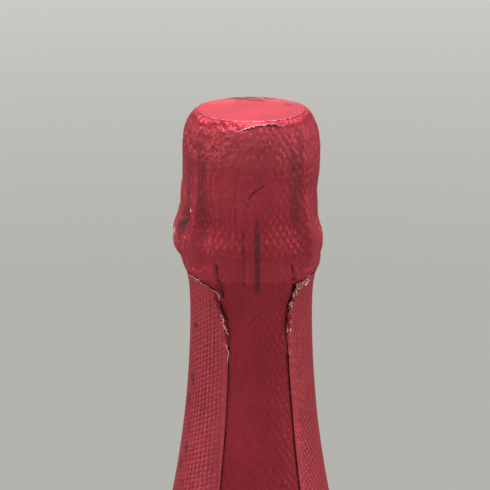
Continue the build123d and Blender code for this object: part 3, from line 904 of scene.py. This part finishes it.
def join_tubes(name, tubes, metal):
    """One piece from several wires."""
    points, faces = np.empty((0, 3)), []
    for tube_points, tube_faces in tubes:
        faces += [[number + len(points) for number in face] for face in tube_faces]
        points = np.vstack((points, tube_points))
    wire = new_piece(name, points, faces)
    wire.data.materials.append(metal)
    return wire


def twisted_pair(path, radius, pitch):
    """Two wires wound round each other along a path."""
    ahead = unit(np.gradient(path, axis=0))
    level = np.cross(ahead, (0, 0, 1))
    level /= np.linalg.norm(level, axis=1)[:, None] + 1e-9
    turn = (travelled(path) / pitch * 2 * math.pi)[:, None]
    offset = radius * (np.cos(turn) * level + np.sin(turn) * np.cross(level, ahead))
    return [tube(path + offset, radius), tube(path - offset, radius)]


def ring(centre, right, up, radius, count):
    """Points on a circle in the plane of two directions."""
    turn = np.linspace(0, 2 * math.pi, count, endpoint=False)[:, None]
    return centre + radius * (np.cos(turn) * right + np.sin(turn) * up)


def build_cage_wire(metal):
    """The cage's top ring, four twisted legs and the eyelets for the belt."""
    top_ring = ring(top_ring_height * z_axis, x_axis, y_axis, top_ring_reach, 120)
    tubes = [tube(top_ring, cage_wire_radius, True)]
    flat = rounded_path(leg_line, leg_bend_radius, 0.45)
    for leg in leg_hollows:
        out = wrap(leg, 1, 0)
        tubes += twisted_pair(flat[:, :1] * out + flat[:, 1:] * z_axis, cage_wire_radius, leg_pitch)
        eyelet = ring(belt_height * z_axis + belt_reach * out, out, z_axis, eyelet_radius, 28)
        tubes.append(tube(eyelet, cage_wire_radius, True))
    return join_tubes("cage_legs", tubes, metal)


def build_belt_wire(metal):
    """The belt under the glass ring, and its twisted stem out to the loop."""
    belt = tube(ring(belt_height * z_axis, x_axis, y_axis, belt_reach, 160), belt_wire_radius, True)
    start, hinge = belt_height * z_axis - belt_reach * x_axis, np.array(loop_hinge)
    stop = 1 - (belt_wire_radius + stem_clearance) / np.linalg.norm(hinge - start)
    path = bend(start, np.array(stem_bend), hinge, np.linspace(0, stop, 16)[:, None])
    return join_tubes("cage_belt", [belt, *twisted_pair(path, stem_wire_radius, stem_pitch)], metal)


def build_loop_wire(metal):
    """The oval loop that is turned to open the cage, on its short twisted stub."""
    up = math.sin(loop_lean) * x_axis + math.cos(loop_lean) * z_axis
    corners = [(0, loop_foot), (loop_half_width, loop_foot), (loop_half_width, loop_top),
               (-loop_half_width, loop_top), (-loop_half_width, loop_foot), (0, loop_foot)]
    flat = rounded_path(corners, 0.8 * loop_half_width, 0.4)[:-1]
    tubes = [tube(np.array(loop_hinge) + flat[:, :1] * y_axis + flat[:, 1:] * up, belt_wire_radius, True)]
    stub = np.array(loop_hinge) + up * np.linspace(-0.1, loop_foot + 0.2, 10)[:, None]
    for side in (1, -1):
        tubes.append(tube(stub + side * belt_wire_radius * y_axis, belt_wire_radius))
    return join_tubes("cage_loop", tubes, metal)


class Shader:
    """Short calls that add and link the nodes of a material or of the world."""

    def __init__(self, owner, surface="Principled BSDF"):
        owner.use_nodes = True
        self.owner = owner
        self.tree = owner.node_tree
        self.surface = self.tree.nodes[surface]

    def feed(self, socket, value):
        """Links a socket to another, or sets its own value."""
        if isinstance(value, bpy.types.NodeSocket):
            self.tree.links.new(value, socket)
        elif value is not None:
            socket.default_value = value

    def fill(self, node, **values):
        """Feeds a node's inputs by name."""
        for name, value in values.items():
            self.feed(node.inputs[name.replace("_", " ")], value)
        return node

    def node(self, kind, *values, **settings):
        """A new node with its settings, and with its inputs fed in order."""
        made = self.tree.nodes.new("ShaderNode" + kind)
        for name, setting in settings.items():
            setattr(made, name, setting)
        for socket, value in zip([s for s in made.inputs if s.enabled], values):
            self.feed(socket, value)
        return made

    def value(self, kind, *values, **settings):
        """The output of a new node."""
        return next(s for s in self.node(kind, *values, **settings).outputs if s.enabled)

    def math(self, operation, *values):
        return self.value("Math", *values, operation=operation)

    def product(self, first, *others):
        for other in others:
            first = self.math("MULTIPLY", first, other)
        return first

    def mix(self, share, first, second):
        return self.value("Mix", share, first, second, data_type="RGBA")

    def layers(self, colour, *layers):
        """A colour with other colours laid over it, each by its share."""
        for share, other in layers:
            colour = self.mix(share, colour, other)
        return colour

    def ramp(self, value, low, high, out_low=0, out_high=1):
        return self.value("MapRange", value, low, high, out_low, out_high)

    def attribute(self, name):
        return self.node("Attribute", attribute_name=name).outputs["Fac"]

    def place(self, stretch=(1, 1, 1)):
        """Place on the object in metres, stretched along its axes."""
        place = self.node("TexCoord").outputs["Object"]
        return self.fill(self.node("Mapping"), Vector=place, Scale=stretch).outputs[0]

    def noise(self, scale, detail, stretch=(1, 1, 1)):
        made = self.fill(self.node("TexNoise"), Scale=scale, Detail=detail, Vector=self.place(stretch))
        return made.outputs["Fac"]

    def cells(self, scale, feature="F1", output="Distance"):
        made = self.fill(self.node("TexVoronoi", feature=feature), Scale=scale, Vector=self.place())
        return made.outputs[output]

    def bumps(self, *layers):
        """Bumps on top of each other, as (height, distance in metres, strength)."""
        normal = None
        for height, distance, strength in layers:
            bump = self.fill(self.node("Bump"), Height=height, Distance=distance, Strength=strength)
            normal = self.fill(bump, Normal=normal).outputs[0]
        return normal

    def background_rays(self):
        """1 for rays that show the background: direct, mirrored or through glass."""
        rays = self.node("LightPath").outputs
        direct = self.math("MAXIMUM", rays["Is Camera Ray"], rays["Is Glossy Ray"])
        return self.math("MAXIMUM", direct, rays["Is Transmission Ray"])

    def finish(self, **values):
        """Feeds the surface's inputs, and gives the material or the world."""
        self.fill(self.surface, **values)
        return self.owner


def new_shader(name):
    """The nodes of a new material."""
    return Shader(bpy.data.materials.new(name))


def foil_shader():
    """Satin red lacquer on tin foil, with its lattice, crinkles, rubbed marks and bare tin edges, and
    painted light and shade: paler and darker pieces, painted shade in grooves, pits, creases and hollows,
    and a painted highlight on the top disc's front edge.
    """
    s = new_shader("red_foil")
    emboss, rub, edge, tone = (s.attribute(name) for name in ("emboss", "rub", "edge", "tone"))
    u, v, _ = s.node("SeparateXYZ", s.node("UVMap", uv_map="lattice").outputs[0]).outputs
    first, second = (s.math("PINGPONG", s.math(kind, u, v), 0.5) for kind in ("ADD", "SUBTRACT"))
    gap = s.math("MINIMUM", first, second)
    groove, crown = s.ramp(gap, 0.2, 0), s.ramp(gap, 0, 0.42)
    dot = s.product(s.ramp(first, 0.3, 0.06), s.ramp(second, 0.42, 0.1), s.attribute("dots"))
    column = s.product(s.ramp(first, 0.3, 0.05), s.attribute("lines"))
    facets = s.math("ADD", s.cells(560), s.product(s.cells(1200), 0.5))
    facets = s.product(facets, s.attribute("crumple"))
    cloud, crinkle, grain = s.noise(90, 4), s.noise(800, 4), s.noise(2600, 2)
    streak = s.noise(1500, 2, (1, 1, 0.07))
    colour = s.layers(
        lacquer_red,
        (s.ramp(cloud, 0.3, 0.7), light_lacquer_red),
        # Painted shade and painted light of each piece, from its tone
        (s.ramp(tone, 0, -1), painted_shade_red),
        (s.ramp(tone, 0, 1), painted_light_red),
        # Painted shade in the lattice's grooves, its pits and its columns
        (s.product(groove, emboss, 0.4), painted_groove_shade_red),
        (s.product(dot, 0.62), painted_pit_shade_red),
        (s.product(column, 0.2), painted_pit_shade_red),
        (s.ramp(streak, 0.5, 0.68, 0, 0.3), streak_red),
        (s.ramp(grain, 0.62, 0.76, 0, 0.2), grain_red),
        # Rubbed lacquer, and painted shade in the creases, grooves and hollows
        (s.product(rub, 0.85), rubbed_grey),
        # Bare tin on torn edges and nicks, and the painted highlight on the top disc's front edge
        (s.ramp(edge, 0.1, 0.65), bare_tin_and_highlight),
    )
    pressed = s.product(s.math("SUBTRACT", crown, groove), emboss)
    pressed = s.math("SUBTRACT", pressed, s.math("ADD", dot, column))
    return s.finish(
        Base_Color=colour,
        Metallic=0.85,
        Specular_Tint=(1, 0.50, 0.52, 1),
        Roughness=s.ramp(s.math("ADD", cloud, rub), 0.3, 1.5, 0.43, 0.62),
        Normal=s.bumps(
            (pressed, 0.00005, 1),
            (facets, 0.00021, 1),
            (streak, 0.00014, 1),
            (crinkle, 0.00026, 0.9),
            (grain, 0.00008, 0.9),
        ),
    )


def two_tone_shader(name):
    """A material whose soft spots change its colour and its roughness, with a fine relief."""
    spots, spread, tones, roughness, grain, relief, surface = two_tone_materials[name]
    s = new_shader(name)
    tone = s.noise(*spots)
    colour = s.mix(s.ramp(tone, *spread), *tones)
    normal = s.bumps((s.noise(*grain), *relief))
    return s.finish(Base_Color=colour, Roughness=s.ramp(tone, *roughness), Normal=normal, **surface)


def wine_shader():
    """Pale gold sparkling wine with fine bubbles on the glass."""
    s = new_shader("wine")
    return s.finish(
        Base_Color=(0.90, 0.74, 0.34, 1),
        Roughness=0,
        Normal=s.bumps((s.ramp(s.cells(420), 0, 0.18), 0.0002, 0.3)),
        Transmission_Weight=1,
        IOR=1.34,
    )


def agglomerate_shader():
    """Glued cork granules of several browns, with dark joints and pores."""
    s = new_shader("agglomerate_cork")
    tone = s.node("SeparateColor", s.cells(480, output="Color")).outputs[0]
    joints = s.cells(480, feature="DISTANCE_TO_EDGE")
    colour = s.layers(
        (0.42, 0.25, 0.12, 1),
        (tone, (0.70, 0.50, 0.31, 1)),
        (s.ramp(joints, 0.09, 0), (0.24, 0.13, 0.065, 1)),
        (s.ramp(s.noise(1500, 4), 0.60, 0.72), (0.20, 0.11, 0.06, 1)),
    )
    return s.finish(Base_Color=colour, Roughness=0.82, Normal=s.bumps((joints, 0.0003, 0.6)))


def natural_cork_shader():
    """Natural cork with its layers and dark pores."""
    s = new_shader("natural_cork")
    pores = s.noise(700, 3, (0.5, 1, 1.6))
    colour = s.layers(
        (0.50, 0.32, 0.17, 1),
        (s.noise(260, 4, (0.25, 1, 1)), (0.76, 0.57, 0.37, 1)),
        (s.ramp(pores, 0.62, 0.70), (0.20, 0.11, 0.055, 1)),
    )
    return s.finish(Base_Color=colour, Roughness=0.85, Normal=s.bumps((pores, 0.0003, 0.5)))


def paper_shader():
    """Cream laid paper: close laid lines, fibres and a little handling dirt."""
    s = new_shader("label_paper")
    laid = s.node("TexWave", wave_type="BANDS", bands_direction="Z")
    s.fill(laid, Scale=320, Distortion=1.2, Vector=s.place())
    fibres = s.noise(1400, 4, (0.4, 0.4, 1))
    colour = s.layers(
        (0.76, 0.71, 0.60, 1),
        (s.noise(30, 3), (0.84, 0.80, 0.70, 1)),
        (s.ramp(fibres, 0.58, 0.80, 0, 0.35), (0.62, 0.55, 0.43, 1)),
    )
    height = s.math("ADD", laid.outputs["Fac"], fibres)
    return s.finish(Base_Color=colour, Roughness=0.75, Normal=s.bumps((height, 0.00006, 0.5)))


def add_lights():
    """Soft studio panels, unseen by the camera: a strong one overhead and weaker ones around."""
    for name, place, size, power in light_panels:
        data = bpy.data.lights.new(name, "AREA")
        data.shape = "RECTANGLE"
        data.size, data.size_y = size
        data.energy = power
        light = bpy.data.objects.new(name, data)
        light.location = place
        light.rotation_euler = (Vector(light_aim) - Vector(place)).to_track_quat("-Z", "Y").to_euler()
        light.visible_camera = False
        bpy.context.scene.collection.objects.link(light)


def add_world():
    """Pale grey-beige surroundings, and a plain ambient light."""
    s = Shader(bpy.data.worlds.new("studio"), "Background")
    bpy.context.scene.world = s.finish(Color=s.mix(s.background_rays(), ambient_colour, backdrop_colour))


def add_floor():
    """Plain pale floor: lit and shadowed near the bottle, the backdrop's colour further off."""
    floor = new_piece("floor", ring(0, x_axis, y_axis, floor_radius, 24), [tuple(range(24))])
    s = new_shader("floor")
    distance = s.node("VectorMath", s.place(), operation="LENGTH").outputs["Value"]
    glow = s.value("Emission", s.mix(s.ramp(distance, 0.9, 2), near_floor_colour, far_floor_colour))
    floor.data.materials.append(s.finish(Base_Color=floor_base_colour, Roughness=0.9))
    unlit = s.product(s.background_rays(), s.ramp(distance, 0.22, 0.5))
    blend = s.value("MixShader", unlit, s.surface.outputs[0], glow)
    s.fill(s.tree.nodes["Material Output"], Surface=blend)


def add_camera():
    """A long lens at the photo's angle, slightly down on the capsule."""
    pitch = math.radians(camera_pitch)
    data = bpy.data.cameras.new("camera")
    data.sensor_width = 36
    data.lens = camera_lens
    data.clip_start = 0.02
    data.clip_end = 50
    camera = bpy.data.objects.new("camera", data)
    away, up = camera_distance * math.cos(pitch), camera_distance * math.sin(pitch)
    camera.location = Vector((camera_side, -away, target_height + up)) * MM
    camera.rotation_euler = (math.pi / 2 - pitch, 0, 0)
    bpy.context.scene.collection.objects.link(camera)
    bpy.context.scene.camera = camera


def place_piece(piece, body, node):
    """The piece rides on its body, in place of its solid."""
    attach(piece, body)
    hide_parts(node)


def add_foil():
    """All the foil pieces, red outside and bare inside."""
    faces = foil_shader(), two_tone_shader("foil_bare")
    hood = [build_hood(), build_flap()]
    disc, tab = [build_top_disc()], [build_tab()]
    neck = [build_strip("neck_strip_front", 0), build_strip("neck_strip_back", 180)]
    neck += [build_panel(*pleat) for pleat in wide_pleats]
    neck += [build_fringe(*lip) for lip in torn_lines]
    for sheets, body, node in ((hood, "hood", "foil_hood"), (disc, "hood", "foil_top_disc"),
                               (tab, "tab", "foil_tab"), (neck, "bottle", "foil_neck")):
        for sheet in sheets:
            for face in faces:
                sheet.data.materials.append(face)
            place_piece(sheet, body, node)


def add_wires():
    """The wire cage in true twisted wire."""
    metal = two_tone_shader("galvanised_wire")
    place_piece(build_cage_wire(metal), "cage", "cage_wire")
    place_piece(build_belt_wire(metal), "cage", "belt_wire")
    place_piece(build_loop_wire(metal), "loop", "twist_loop")


def finish_solids():
    """Materials for the solids that stay as they are."""
    finishes = (
        (two_tone_shader("bottle_glass"), ("glass_bottle",)),
        (wine_shader(), ("wine",)),
        (agglomerate_shader(), ("cork_body",)),
        (natural_cork_shader(), ("cork_disc_upper", "cork_disc_lower")),
        (two_tone_shader("cap_plate"), ("cap_plate",)),
        (paper_shader(), ("neck_label", "front_label", "back_label")),
    )
    for material, nodes in finishes:
        for node in nodes:
            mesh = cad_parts[node].data
            mesh.materials.clear()
            mesh.materials.append(material)


add_foil()
add_wires()
finish_solids()
add_world()
add_lights()
add_floor()
add_camera()
bpy.context.scene.view_settings.view_transform = "Standard"
